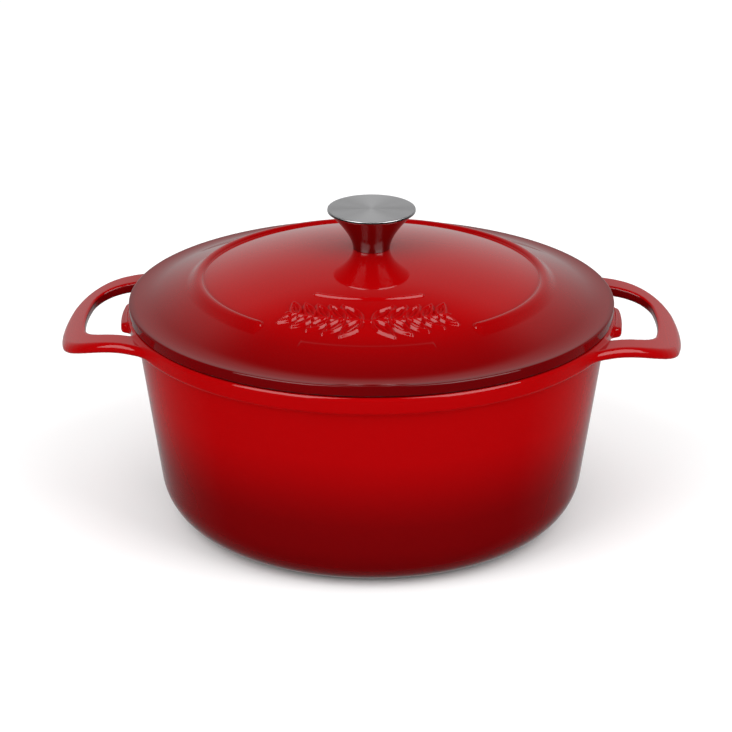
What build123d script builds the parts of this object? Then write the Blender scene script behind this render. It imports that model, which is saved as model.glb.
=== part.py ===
"""Round cast iron dutch oven, about 26 cm across the mouth, with a lift-off lid and a turned steel knob.

Origin: centre of the base, on the surface the pot stands on. +Z up, handles along X, relief towards -Y.
"""
from build123d import *
from math import atan2, cos, hypot, pi, radians, sin, sqrt, tan
import os

os.makedirs("parts", exist_ok=True)

# ---------------------------------------------------------------- driving dimensions, millimetres
# pot
RIM_Z = 123.0             # top of the pot's rim
BAND_RADIUS = 138.3       # outer face of the band round the mouth
BAND_HEIGHT = 10.5        # height of that band
BAND_TAPER = 1.2          # the band is this much slimmer at its lower edge
WALL_BASE_RADIUS = 116.7  # where the sloping outer wall would meet the ground
WALL_SLOPE = 8.36         # lean of the wall from upright, degrees
CORNER_RADIUS = 32.0      # round between wall and base
BASE_RADIUS = 98.0        # edge of the flat that the pot stands on
WALL = 4.6                # casting thickness of the wall
FLOOR = 5.2               # casting thickness of the floor
FOOT_WIDTH = 9.0          # flat ring round the recess under the base
FOOT_RECESS = 0.8
STEP_ROUND = 3.0          # hollow round where the band steps in to the wall
BAND_ROUND = 2.6
RIM_ROUND = 1.2
FOOT_ROUND = 3.0
LINING = 0.4              # pale enamel on the inside faces
LINING_STOP = 3.0         # the lining ends this far below the rim

# handles
HANDLE_REACH = 176.0      # middle of the grip, from the pot's axis
HANDLE_ROOT_X = 118.0     # the arms start inside the band
HANDLE_ROOT_HALF = 65.8   # half width over both arms at their start
OPENING_ROOT_HALF = 49.0  # half width between the arms there
HANDLE_SIDE_SLOPE = 0.36  # how fast the sides close in towards the grip
HANDLE_GRIP_RISE = 9.0    # bow of the grip's outer edge
OPENING_RISE = 4.5        # bow of its inner edge
HANDLE_CORNER = 40.0      # plan radius of the loop's outer corners
HANDLE_INNER_CORNER = 20.0
HANDLE_GRIP = 13.8        # width of the grip
HANDLE_TOP = 121.8        # top face at the root
HANDLE_THICK = 6.1
HANDLE_DROOP_X = 136.0    # the loop curves down from here outwards
HANDLE_DROOP_RADIUS = 64.0
HANDLE_EDGE = 2.0         # rounding of the loop's edges
HANDLE_BLOCK = 40.0       # height of the upright block that the loop is cut from, below its top
ROOT_DEPTH = 5.0          # how far the arms run into the band
LUG_REACH = 142.2         # small bar on the band between the arms
LUG_BOW = 1.3             # how far its face bows out
LUG_HALF = 17.6
LUG_TOP = 118.6
LUG_HEIGHT = 6.0
LUG_EDGE = 1.8
LUG_DEPTH = 6.0           # how far the bar runs into the band
LUG_CORNER = 3.0

# lid
LID_RADIUS = 137.5
LID_EDGE_Z = 123.9        # lower edge of the lid's outer face
LID_EDGE_HEIGHT = 5.7
SEAT_GAP = 0.4            # gap between the lid's seat and the rim
LID_WALL = 4.8
LID_SEAT_INSET = 1.0      # the seat is this much smaller than the lid's edge
BRIM_RADIUS = 129.0       # the sloping face meets the flat brim here
BRIM_HOLLOW = 34.0        # hollow round between the two
EDGE_ROUND = 1.0          # round on the brim's outer edge
BEAD_RADIUS = 98.8        # centre line of the raised bead
BEAD_SEAT_Z = 141.0
BEAD_HALF_WIDTH = 2.6
BEAD_OPEN_HALF = 38.2     # the bead stops this many degrees either side of the front
BOSS_RADIUS = 13.0        # flat under the knob
BOSS_Z = 159.4
RIB_OUTER = 127.6         # rib that centres the lid in the mouth
RIB_WIDTH = 4.0
RIB_DEPTH = 5.0
RIB_TAPER = 0.4
RIB_ROUND = 1.2
RELIEF_HEIGHT = 1.1       # leaf sprig above the lid's face
STEM_RADIUS = 88.0        # arc that the sprig's stem follows
STEM_WIDTH = 1.8
STEM_HALF_ANGLE = 30.0
LEAF_PAIRS = 7
LEAF_LENGTH = 15.0
LEAF_WIDTH = 6.0
LEAF_LEAN = 35.0          # degrees from the radius
LEAF_SMALLEST = 0.75      # size of the end leaves, as a share of the middle ones
BASTING_RINGS = (40.0, 62.0, 84.0)   # low ridges under the lid that make condensate drip
BASTING_HEIGHT = 1.5
LINING_MARGIN = 1.0       # bare casting between the lid's lining and the rib
HEAD_MARGIN = 3.0         # bare casting round the screw's head

# knob and its fixing
KNOB_HEIGHT = 23.5
KNOB_RADIUS = 24.9
KNOB_FOOT_RADIUS = 10.4
KNOB_WAIST = (14.7, 9.8)  # a point on the concave side, radius and height
KNOB_LIP = 1.8
KNOB_ROUND = 0.7
BORE_CLEARANCE = 0.05     # running fit of the screw in the knob
SCREW_RADIUS = 3.0
SCREW_ENGAGEMENT = 14.0   # length of screw inside the knob
BORE_SPARE = 1.5          # the knob's bore is this much deeper
SCREW_CHAMFER = 0.6
HOLE_RADIUS = 3.5         # hole through the lid
WASHER_INNER = 3.3
WASHER_OUTER = 5.6
WASHER_THICK = 1.6
WASHER_SPLIT = 0.9
SPLIT_LEAN = 20.0
HEAD_RADIUS = 5.8
HEAD_HEIGHT = 3.6
HEAD_ROUND = 1.6
CROSS_LENGTH = 6.4
CROSS_WIDTH = 1.3
CROSS_DEPTH = 2.0

# ---------------------------------------------------------------- worked-out values
LEAN = tan(radians(WALL_SLOPE))
SEAT_Z = RIM_Z + SEAT_GAP
UNDER_BOSS_Z = BOSS_Z - LID_WALL
BRIM_Z = LID_EDGE_Z + LID_EDGE_HEIGHT


# ---------------------------------------------------------------- pot
def draw_side(shift, foot, foot_z, top_z):
    """Draw one face of the pot's side, shift inside the outer one: arc from the foot, then the wall."""
    wall_base = WALL_BASE_RADIUS - shift / cos(radians(WALL_SLOPE))
    radius = CORNER_RADIUS - shift
    # the arc touches the sloping wall and passes through the foot's edge
    side = foot - (wall_base - radius / cos(radians(WALL_SLOPE)) + foot_z * LEAN)
    square = 1 + LEAN**2
    rise = (LEAN * side + sqrt((LEAN * side) ** 2 - square * (side**2 - radius**2))) / square
    centre = Vector(foot - side + rise * LEAN, foot_z + rise)
    start = atan2(foot_z - centre.Y, foot - centre.X)
    end = -radians(WALL_SLOPE)
    middle = (start + end) / 2
    on_wall = centre + Vector(cos(end), sin(end)) * radius
    ThreePointArc((foot, foot_z), centre + Vector(cos(middle), sin(middle)) * radius, on_wall)
    Line(on_wall, (wall_base + top_z * LEAN, top_z))
    return wall_base + top_z * LEAN


def handle_plan(root_half, reach, rise, corner):
    """Outline of a handle loop, or of its opening, in plan."""
    corner_x = reach - rise
    corner_half = root_half - HANDLE_SIDE_SLOPE * (corner_x - HANDLE_ROOT_X)
    with BuildSketch() as plan:
        with BuildLine():
            Polyline(
                (corner_x, -corner_half),
                (HANDLE_ROOT_X, -root_half),
                (HANDLE_ROOT_X, root_half),
                (corner_x, corner_half),
            )
            ThreePointArc((corner_x, -corner_half), (reach, 0), (corner_x, corner_half))
        make_face()
        fillet(plan.vertices().group_by(Axis.X)[-1], corner)
    return plan.sketch


def droop_edge(drop):
    """The loop's top edge seen from the front, lowered by drop."""
    far_x = HANDLE_REACH + 2
    run = far_x - HANDLE_DROOP_X
    top = HANDLE_TOP - drop
    middle = run / 2
    depth = [HANDLE_DROOP_RADIUS - sqrt(HANDLE_DROOP_RADIUS**2 - d**2) for d in (middle, run)]
    Line((HANDLE_ROOT_X - 1, top), (HANDLE_DROOP_X, top))
    ThreePointArc((HANDLE_DROOP_X, top), (HANDLE_DROOP_X + middle, top - depth[0]), (far_x, top - depth[1]))
    return far_x, top - depth[1]


with BuildPart() as handle:
    with BuildSketch(Plane.XY.offset(HANDLE_TOP - HANDLE_BLOCK)):
        add(handle_plan(HANDLE_ROOT_HALF, HANDLE_REACH, HANDLE_GRIP_RISE, HANDLE_CORNER))
        inner_reach = HANDLE_REACH - HANDLE_GRIP
        opening = handle_plan(OPENING_ROOT_HALF, inner_reach, OPENING_RISE, HANDLE_INNER_CORNER)
        add(opening, mode=Mode.SUBTRACT)
        Circle(BAND_RADIUS - ROOT_DEPTH, mode=Mode.SUBTRACT)
    extrude(amount=HANDLE_BLOCK)
    with BuildSketch(Plane.XZ) as slab:
        with BuildLine():
            upper_end = droop_edge(0)
            lower_end = droop_edge(HANDLE_THICK)
            Line(upper_end, lower_end)
            Line((HANDLE_ROOT_X - 1, HANDLE_TOP), (HANDLE_ROOT_X - 1, HANDLE_TOP - HANDLE_THICK))
        make_face()
    extrude(amount=HANDLE_ROOT_HALF + 5, both=True, mode=Mode.INTERSECT)
    free_edges = handle.edges().filter_by(Axis.Z, reverse=True)
    rims = free_edges.filter_by(lambda e: hypot(e.center().X, e.center().Y) > BAND_RADIUS)
    fillet(rims, HANDLE_EDGE)

lug_root = BAND_RADIUS - LUG_DEPTH
lug_end = LUG_REACH - LUG_BOW

with BuildPart() as lug:
    with BuildSketch(Plane.XY.offset(LUG_TOP - LUG_HEIGHT)) as nose:
        with BuildLine():
            ThreePointArc((lug_end, -LUG_HALF), (LUG_REACH, 0), (lug_end, LUG_HALF))
            Polyline((lug_end, -LUG_HALF), (lug_root, -LUG_HALF), (lug_root, LUG_HALF), (lug_end, LUG_HALF))
        make_face()
        fillet(nose.vertices().group_by(Axis.X)[-1], LUG_CORNER)
    extrude(amount=LUG_HEIGHT)
    flat_edges = lug.faces().filter_by(Axis.Z).edges()
    fillet(flat_edges.filter_by(lambda e: e.center().X > lug_root + 1), LUG_EDGE)

with BuildPart() as pot:
    with BuildSketch(Plane.XZ) as section:
        with BuildLine():
            band_foot_z = RIM_Z - BAND_HEIGHT
            step_r = draw_side(0, BASE_RADIUS, 0, band_foot_z)
            Polyline((step_r, band_foot_z), (BAND_RADIUS - BAND_TAPER, band_foot_z), (BAND_RADIUS, RIM_Z))
            mouth = draw_side(WALL, BASE_RADIUS - WALL, FLOOR, RIM_Z)
            Line((BAND_RADIUS, RIM_Z), (mouth, RIM_Z))
            Polyline(
                (BASE_RADIUS - WALL, FLOOR),
                (0, FLOOR),
                (0, FOOT_RECESS),
                (BASE_RADIUS - FOOT_WIDTH - FOOT_RECESS, FOOT_RECESS),
                (BASE_RADIUS - FOOT_WIDTH, 0),
                (BASE_RADIUS, 0),
            )
        make_face()
        corners = section.vertices()
        fillet(corners.filter_by(lambda v: abs(v.X - step_r) < 0.01 and abs(v.Y - band_foot_z) < 0.01), STEP_ROUND)
        fillet(corners.filter_by(lambda v: abs(v.X - BAND_RADIUS + BAND_TAPER) < 0.01), BAND_ROUND)
        fillet(corners.filter_by(lambda v: v.Y > RIM_Z - 0.01), RIM_ROUND)
        fillet(corners.filter_by(lambda v: v.Y < 0.01 and v.X > BASE_RADIUS - 0.01), FOOT_ROUND)
    revolve(axis=Axis.Z)
    for side in (handle, lug):
        add(side.part)
        add(side.part.mirror(Plane.YZ))
pot.part.label = "pot"

with BuildPart() as pot_lining:
    with BuildSketch(Plane.XZ):
        with BuildLine():
            top = RIM_Z - LINING_STOP
            outer_r = draw_side(WALL, BASE_RADIUS - WALL, FLOOR, top)
            inner_r = draw_side(WALL + LINING, BASE_RADIUS - WALL - LINING, FLOOR + LINING, top)
            Line((outer_r, top), (inner_r, top))
            Polyline(
                (BASE_RADIUS - WALL, FLOOR),
                (0, FLOOR),
                (0, FLOOR + LINING),
                (BASE_RADIUS - WALL - LINING, FLOOR + LINING),
            )
        make_face()
    revolve(axis=Axis.Z)
pot_lining.part.label = "pot_lining"


# ---------------------------------------------------------------- lid
def dome_z(radius):
    """Height of the lid's inner disc, which rises from the bead to the flat under the knob."""
    fall = (BOSS_Z - BEAD_SEAT_Z) / (BEAD_RADIUS**2 - BOSS_RADIUS**2)
    return BOSS_Z - (radius**2 - BOSS_RADIUS**2) * fall


def draw_dome(drop, start_radius, flat_radius):
    """Lid face lowered by drop: outer cone from start_radius to the bead, dome, flat towards the axis."""
    cone_slope = (BEAD_SEAT_Z - BRIM_Z) / (BRIM_RADIUS - BEAD_RADIUS)
    start = (start_radius, BRIM_Z - drop + (BRIM_RADIUS - start_radius) * cone_slope)
    half_way = (BEAD_RADIUS + BOSS_RADIUS) / 2
    Line(start, (BEAD_RADIUS, BEAD_SEAT_Z - drop))
    ThreePointArc(
        (BEAD_RADIUS, BEAD_SEAT_Z - drop),
        (half_way, dome_z(half_way) - drop),
        (BOSS_RADIUS, BOSS_Z - drop),
    )
    Line((BOSS_RADIUS, BOSS_Z - drop), (flat_radius, BOSS_Z - drop))
    return start


rib_inner = RIB_OUTER - RIB_WIDTH

with BuildPart() as relief_layer:
    # a layer that follows the dome, from inside the casting up to the relief's face
    with BuildSketch(Plane.XZ):
        with BuildLine():
            layer_top = draw_dome(-RELIEF_HEIGHT, BRIM_RADIUS, 0)
            layer_foot = draw_dome(LID_WALL / 2, BRIM_RADIUS, 0)
            Line(layer_top, layer_foot)
            Line((0, BOSS_Z + RELIEF_HEIGHT), (0, BOSS_Z - LID_WALL / 2))
        make_face()
    revolve(axis=Axis.Z)


def leaf(size):
    """Pointed leaf along +X, size 1 at full length."""
    length = LEAF_LENGTH * size
    width = LEAF_WIDTH * size
    with BuildSketch() as outline:
        with BuildLine():
            ThreePointArc((0, 0), (length / 2, width / 2), (length, 0))
            ThreePointArc((0, 0), (length / 2, -width / 2), (length, 0))
        make_face()
    return outline.sketch


with BuildPart() as relief:
    with BuildSketch(Plane.XY.offset(RIM_Z)):
        stem_start = -90 - STEM_HALF_ANGLE
        with BuildLine():
            CenterArc((0, 0), STEM_RADIUS, stem_start, 2 * STEM_HALF_ANGLE)
            offset(amount=STEM_WIDTH / 2, side=Side.BOTH)
        make_face()
        for pair in range(LEAF_PAIRS):
            share = (pair + 0.5) / LEAF_PAIRS
            angle = stem_start + share * 2 * STEM_HALF_ANGLE
            size = LEAF_SMALLEST + (1 - LEAF_SMALLEST) * sin(pi * share)
            with Locations(Rot(0, 0, angle) * Pos(STEM_RADIUS, 0)):
                for lean in (LEAF_LEAN, 180 - LEAF_LEAN):
                    add(leaf(size), rotation=lean)
    extrude(amount=BOSS_Z - RIM_Z)
    add(relief_layer.part, mode=Mode.INTERSECT)

with BuildPart() as lid:
    with BuildSketch(Plane.XZ) as section:
        with BuildLine():
            face = draw_dome(0, BRIM_RADIUS, HOLE_RADIUS)
            under = draw_dome(LID_WALL, rib_inner, HOLE_RADIUS)
            Line((HOLE_RADIUS, BOSS_Z), (HOLE_RADIUS, UNDER_BOSS_Z))
            Polyline(
                face,
                (LID_RADIUS, BRIM_Z),
                (LID_RADIUS, LID_EDGE_Z),
                (LID_RADIUS - LID_SEAT_INSET, SEAT_Z),
                (RIB_OUTER, SEAT_Z),
                (RIB_OUTER - RIB_TAPER, SEAT_Z - RIB_DEPTH),
                (rib_inner, SEAT_Z - RIB_DEPTH),
                under,
            )
        make_face()
        corners = section.vertices()
        fillet(corners.filter_by(lambda v: abs(v.X - BRIM_RADIUS) < 0.01), BRIM_HOLLOW)
        fillet(corners.filter_by(lambda v: v.X > LID_RADIUS - 0.01 and v.Y > BRIM_Z - 0.01), EDGE_ROUND)
        fillet(corners.filter_by(lambda v: v.Y < SEAT_Z - RIB_DEPTH + 0.01), RIB_ROUND)
    revolve(axis=Axis.Z)
    # raised bead, open at the front, with rounded ends
    bead_start = Plane.XZ.rotated((0, 0, BEAD_OPEN_HALF - 90))
    with BuildSketch(bead_start):
        with Locations((BEAD_RADIUS, BEAD_SEAT_Z)):
            Circle(BEAD_HALF_WIDTH)
    revolve(axis=Axis.Z, revolution_arc=360 - 2 * BEAD_OPEN_HALF)
    for side in (-1, 1):
        end_angle = radians(side * BEAD_OPEN_HALF - 90)
        with Locations((BEAD_RADIUS * cos(end_angle), BEAD_RADIUS * sin(end_angle), BEAD_SEAT_Z)):
            Sphere(BEAD_HALF_WIDTH)
    add(relief.part)
lid.part.label = "lid"

with BuildPart() as lid_lining:
    with BuildSketch(Plane.XZ):
        with BuildLine():
            lining_edge = rib_inner - LINING_MARGIN
            lining_hole = HEAD_RADIUS + HEAD_MARGIN
            upper = draw_dome(LID_WALL, lining_edge, lining_hole)
            lower = draw_dome(LID_WALL + LINING, lining_edge, lining_hole)
            Line(upper, lower)
            Line((lining_hole, UNDER_BOSS_Z), (lining_hole, UNDER_BOSS_Z - LINING))
        make_face()
        for ring_radius in BASTING_RINGS:
            with Locations((ring_radius, dome_z(ring_radius) - LID_WALL - LINING)):
                Circle(BASTING_HEIGHT)
        with BuildLine():
            casting = draw_dome(LID_WALL, rib_inner, lining_hole)
            Polyline((lining_hole, UNDER_BOSS_Z), (lining_hole, BOSS_Z), (rib_inner, BOSS_Z), casting)
        make_face(mode=Mode.SUBTRACT)
    revolve(axis=Axis.Z)
lid_lining.part.label = "lid_lining"


# ---------------------------------------------------------------- knob and its fixing
with BuildPart() as knob:
    with BuildSketch(Plane.XZ) as section:
        with BuildLine():
            top = BOSS_Z + KNOB_HEIGHT
            waist = (KNOB_WAIST[0], BOSS_Z + KNOB_WAIST[1])
            lip = (KNOB_RADIUS, top - KNOB_LIP)
            ThreePointArc((KNOB_FOOT_RADIUS, BOSS_Z), waist, lip)
            Polyline(lip, (KNOB_RADIUS, top), (0, top), (0, BOSS_Z), (KNOB_FOOT_RADIUS, BOSS_Z))
        make_face()
        fillet(section.vertices().filter_by(lambda v: v.X > KNOB_RADIUS - 0.01), KNOB_ROUND)
    revolve(axis=Axis.Z)
    with BuildSketch(Plane.XY.offset(BOSS_Z)):
        Circle(SCREW_RADIUS + BORE_CLEARANCE)
    extrude(amount=SCREW_ENGAGEMENT + BORE_SPARE, mode=Mode.SUBTRACT)
knob.part.label = "knob"

washer_foot_z = UNDER_BOSS_Z - WASHER_THICK

with BuildPart() as knob_screw:
    with BuildSketch(Plane.XY.offset(washer_foot_z)):
        Circle(SCREW_RADIUS)
    extrude(amount=BOSS_Z + SCREW_ENGAGEMENT - washer_foot_z)
    with BuildSketch(Plane.XY.offset(washer_foot_z)):
        Circle(HEAD_RADIUS)
    extrude(amount=-HEAD_HEIGHT)
    head_foot = knob_screw.faces().sort_by(Axis.Z)[0]
    fillet(head_foot.edges(), HEAD_ROUND)
    chamfer(knob_screw.faces().sort_by(Axis.Z)[-1].edges(), SCREW_CHAMFER)
    with BuildSketch(Plane.XY.offset(washer_foot_z - HEAD_HEIGHT)):
        Rectangle(CROSS_LENGTH, CROSS_WIDTH)
        Rectangle(CROSS_WIDTH, CROSS_LENGTH)
    extrude(amount=CROSS_DEPTH, mode=Mode.SUBTRACT)
knob_screw.part.label = "knob_screw"

with BuildPart() as lock_washer:
    with BuildSketch(Plane.XY.offset(washer_foot_z)):
        Circle(WASHER_OUTER)
        Circle(WASHER_INNER, mode=Mode.SUBTRACT)
        with Locations((WASHER_OUTER, 0)):
            Rectangle(WASHER_OUTER, WASHER_SPLIT, rotation=SPLIT_LEAN, mode=Mode.SUBTRACT)
    extrude(amount=WASHER_THICK)
lock_washer.part.label = "lock_washer"

# ---------------------------------------------------------------- files
for piece in (pot, pot_lining, lid, lid_lining, knob, knob_screw, lock_washer):
    export_step(piece.part, f"parts/{piece.part.label}.step")
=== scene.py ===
"""Looks of the red enamelled dutch oven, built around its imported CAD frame.

Frame: centre of the pot's base, +Z up, handles along X, the lid's relief towards -Y.
Shapes are worked out in millimetres and written to the meshes in metres.
"""
from math import atan2, ceil, cos, pi, radians, sin, sqrt, tan

import bpy
import numpy as np
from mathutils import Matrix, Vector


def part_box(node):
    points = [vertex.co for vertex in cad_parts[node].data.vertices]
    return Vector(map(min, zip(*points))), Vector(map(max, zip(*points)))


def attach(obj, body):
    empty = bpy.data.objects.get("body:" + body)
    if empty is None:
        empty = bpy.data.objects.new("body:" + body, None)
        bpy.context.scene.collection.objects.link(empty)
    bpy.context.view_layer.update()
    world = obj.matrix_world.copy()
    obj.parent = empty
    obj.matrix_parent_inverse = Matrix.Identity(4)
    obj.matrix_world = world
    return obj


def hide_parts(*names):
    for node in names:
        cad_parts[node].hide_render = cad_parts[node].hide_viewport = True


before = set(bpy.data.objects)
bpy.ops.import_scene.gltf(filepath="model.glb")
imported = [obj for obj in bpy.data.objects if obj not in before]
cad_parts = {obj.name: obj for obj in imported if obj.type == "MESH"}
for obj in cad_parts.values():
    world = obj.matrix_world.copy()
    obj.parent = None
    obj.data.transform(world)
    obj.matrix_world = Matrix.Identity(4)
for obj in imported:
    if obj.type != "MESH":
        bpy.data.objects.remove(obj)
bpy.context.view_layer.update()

MM = 0.001

# ---------------------------------------------------------------- sizes from the frame, millimetres
pot_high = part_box("pot")[1] / MM
lid_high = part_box("lid")[1] / MM
knob_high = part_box("knob")[1] / MM
head_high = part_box("knob_screw")[1] / MM

RIM_Z = pot_high.z
BAND_RADIUS = pot_high.y
HANDLE_REACH = pot_high.x
LID_RADIUS = lid_high.x
BOSS_Z = lid_high.z
KNOB_RADIUS = knob_high.x
KNOB_TOP = knob_high.z
HEAD_RADIUS = head_high.x

# ---------------------------------------------------------------- the casting's other sizes, millimetres
BAND_HEIGHT = 10.5
BAND_TAPER = 1.2
WALL_BASE_RADIUS = 116.7
WALL_SLOPE = radians(8.36)
CORNER_RADIUS = 32.0
BASE_RADIUS = 98.0
WALL = 4.6
FLOOR = 5.2
FOOT_WIDTH = 9.0
FOOT_RECESS = 0.8
LINING = 0.4
LID_LINING_EDGE_GAP = 1      # the lid's lining keeps this far from the rib
LID_LINING_HEAD_GAP = 3      # and this far from the screw's head
LINING_STOP = 3.0            # the lining ends this far under the rim
FOOT_EDGE = 3.0              # reach of the rounding on the foot's edge
BAND_HOLLOW = 2.2            # reach of the hollow between wall and band
BAND_FOOT_EDGE = 2.4         # reach of the rounding on the band's lower edge
MOUTH_EDGE = 1.2             # radius of the rounding on the mouth's edge

HANDLE_ROOT_X = 118.0
HANDLE_ROOT_HALF = 65.8
OPENING_ROOT_HALF = 49.0
HANDLE_SIDE_SLOPE = 0.36
HANDLE_GRIP_RISE = 9.0
OPENING_RISE = 4.5
HANDLE_CORNER = 22.0         # reach of the rounding on the loop's outer corners
HANDLE_INNER_CORNER = 12.5
HANDLE_GRIP = 13.8
HANDLE_TOP = 121.8
HANDLE_THICK = 6.1
HANDLE_DROOP_X = 136.0
HANDLE_DROOP_RADIUS = 64.0
HANDLE_DROOP_LIMIT = 0.9     # share of that radius after which the droop stops
HANDLE_OUTER_EDGE = 2.9      # rounding of the loop's outer and inner edges
HANDLE_INNER_EDGE = 1.9
HANDLE_EDGE_BLEND = 3.0      # the two roundings change over within this distance
BAND_EDGE = 1.5
ROOT_FLARE = 18.0            # reach of the fillet where an arm runs into the band, in plan
ROOT_SINK = 5.0              # how far inside the band's face that fillet starts
ROOT_FILLET = 5.0            # reach of the fillet on the arm's other faces
FACE_INSIDE = 1.5            # the rim's level turns into the loop's from here inside the band's face
FACE_OUTSIDE = 2.5           # to here outside it
LUG_REACH = 142.2
LUG_HALF = 17.6
LUG_BOW_RADIUS = 139.5       # plan radius of the lug's face
LUG_CORNER = 3.0
LUG_TOP = 118.6
LUG_HEIGHT = 6.0
LUG_FLARE = 3.5
LUG_EDGE = 1.8
RIM_GLAZE = 3.6              # width of the rim's outer strip that the red enamel covers

LID_EDGE_Z = 123.9
LID_EDGE_HEIGHT = 5.7
SEAT_GAP = 0.4
LID_WALL = 4.8
BRIM_RADIUS = 129.0          # the sloping face turns into the flat brim here
BRIM_Z = LID_EDGE_Z + LID_EDGE_HEIGHT
RELIEF_END = BRIM_RADIUS - 8
BRIM_HOLLOW = 6.5            # reach of the hollow where it does
LID_TOP_EDGE = 1.0           # reaches of the roundings on the lid's upper and lower edge
LID_LOW_EDGE = 0.35
LID_UNDERCUT = 1.0           # how much narrower the seat is than the lid
BEAD_RADIUS = 98.8
BEAD_SEAT_Z = 141.0
BEAD_RISE = 2.5
BEAD_HALF_WIDTH = 3.9
BEAD_OPEN_HALF = radians(38.2)
BOSS_RADIUS = 13.0
HOLE_RADIUS = 3.5
RIB_OUTER = 127.6
RIB_WIDTH = 4.0
RIB_DEPTH = 5.0
RIB_TAPER = 0.4
RIB_EDGE = 1.2
BASTING_RINGS = (40.0, 62.0, 84.0)
BASTING_HEIGHT = 1.5
BASTING_HALF_WIDTH = 1.7

# the generic sprig on the lid: ridges along each leaf's edge and middle, and two thin arcs
STEM_RADIUS = 84.0
STEM_HALF = radians(31)
LEAF_PAIRS = 5
LEAF_LENGTH = 16.5
LEAF_WIDTH = 6.4
RELIEF_RISE = 1.6
EDGE_HALF = 1.15
VEIN_SHARE = 0.75
VEIN_HALF = 0.9
VEIN_RISE = 0.8
STEM_RIDGE_HALF = 1.2
STEM_RISE = 1.2
LEAF_LEAN = radians(48)
LEAF_FULLNESS = 0.8          # power of the leaf's outline; less than 1 moves its widest place to the foot
FIRST_LEAF = 0.35            # share of a leaf's spacing before the first pair
LEAF_SCALE = 1.05            # a leaf's length at the twig's foot, over LEAF_LENGTH
LEAF_SHRINK = 0.4            # how much of that is lost over the twig's length
STEM_END = 40.0              # how fast the stem's ridge fades past its end, millimetres per radian
RIDGE_ROUNDNESS = 0.8
ARCS = ((64.0, radians(27)), (104.5, radians(20)))
ARC_HALF_WIDTH = 1.3
ARC_RISE = 1.2

KNOB_FOOT_RADIUS = 10.4
KNOB_WAIST = (14.1, 9.8)
KNOB_LIP = 1.6
KNOB_LIP_INSET = 0.7         # the cone starts this far inside the lip's face
KNOB_TOP_EDGE = 0.6          # reaches of the roundings on the knob
KNOB_LIP_EDGE = 0.3
KNOB_FOOT_EDGE = 0.4
BORE_RADIUS = 3.05
BORE_DEPTH = 15.5

# ---------------------------------------------------------------- fineness of the meshes, millimetres
ABOVE_RIM = 20.0             # outlines of the side run on this far past the rim
SECTION_TABLE = ((80, -4), (188, RIM_Z + 6))
PLAN_TABLE = ((84, -2), (188, 90))
POT_TURNS = 720
GRID_RADII = np.arange(86.3, 180.5, 1.0)
GRID_HEIGHTS = np.concatenate((np.arange(-1.25, 8, 0.6), np.arange(8.4, 94, 2.4), np.arange(95, 126, 0.95)))
DISC_RADII = (64.0, 36.0, 12.0, 0.0)
NORMAL_NUDGE = 0.3
SETTLE_ROUNDS = 5
LEAST_SLOPE = 0.25
LONGEST_MOVE = 0.8
POLE_RADIUS = 1e-6
CURVE_STEPS = 9
CORNER_STEPS = 25
DOME_STEPS = 45
GRIP_STEPS = 21
CONE_STEPS = 24
LATHE_TURNS = 360
KNOB_TURNS = 256
LID_FRONT_TURNS = 300        # within LID_FINE_HALF of the front, where the sprig is
LID_REST_TURNS = 380
LID_FINE_HALF = radians(40)
LID_FINE_BAND = (58, 108)    # radii between which the lid's face has the relief
LID_FINE_STEP = 0.45
LID_STEP = 2.5
POT_LINING_STEP = 4.0
LID_LINING_STEP = 0.8
KNOB_STEP = 1.0


# ---------------------------------------------------------------- outlines
def soften(line, *rounds):
    """Round the vertices of a line: each round is a corner and its reach to either side."""
    for corner, reach in rounds:
        line = np.asarray(line, float)
        run = np.concatenate(([0], np.cumsum(np.hypot(*np.diff(line, axis=0).T))))
        middle = np.argmin(np.hypot(*(line - corner).T))
        ends = [run[middle] - reach, run[middle] + reach]
        before, after = np.stack([np.interp(ends, run, line[:, axis]) for axis in (0, 1)], axis=1)
        share = np.linspace(0, 1, CURVE_STEPS)[:, None]
        curve = (1 - share) ** 2 * before + 2 * share * (1 - share) * line[middle] + share**2 * after
        line = np.concatenate((line[run < ends[0] - 0.01], curve, line[run > ends[1] + 0.01]))
    return line


def fine(line, longest):
    """The same line with no step over longest, a length or a function of the step's middle."""
    points = [line[0]]
    for start, end in zip(line[:-1], line[1:]):
        limit = longest(*((start + end) / 2)) if callable(longest) else longest
        count = max(1, ceil(np.hypot(*(end - start)) / limit))
        points += [start + (end - start) * step / count for step in range(1, count + 1)]
    return np.array(points)


def side_line(shift, foot, foot_z, top_z):
    """One face of the pot's side, shift inside the outer one: arc from the foot, then the wall."""
    lean = tan(WALL_SLOPE)
    wall_base = WALL_BASE_RADIUS - shift / cos(WALL_SLOPE)
    radius = CORNER_RADIUS - shift
    side = foot - (wall_base - radius / cos(WALL_SLOPE) + foot_z * lean)
    square = 1 + lean**2
    rise = (lean * side + sqrt((lean * side) ** 2 - square * (side**2 - radius**2))) / square
    centre = np.array((foot - side + rise * lean, foot_z + rise))
    start = atan2(foot_z - centre[1], foot - centre[0])
    turns = np.linspace(start, -WALL_SLOPE, CORNER_STEPS)
    arc = centre + radius * np.stack((np.cos(turns), np.sin(turns)), axis=1)
    return np.concatenate((arc, [(wall_base + top_z * lean, top_z)]))


def dome_z(radius):
    """Height of the lid's face inside the bead."""
    fall = (BOSS_Z - BEAD_SEAT_Z) / (BEAD_RADIUS**2 - BOSS_RADIUS**2)
    return BOSS_Z - (radius**2 - BOSS_RADIUS**2) * fall


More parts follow.
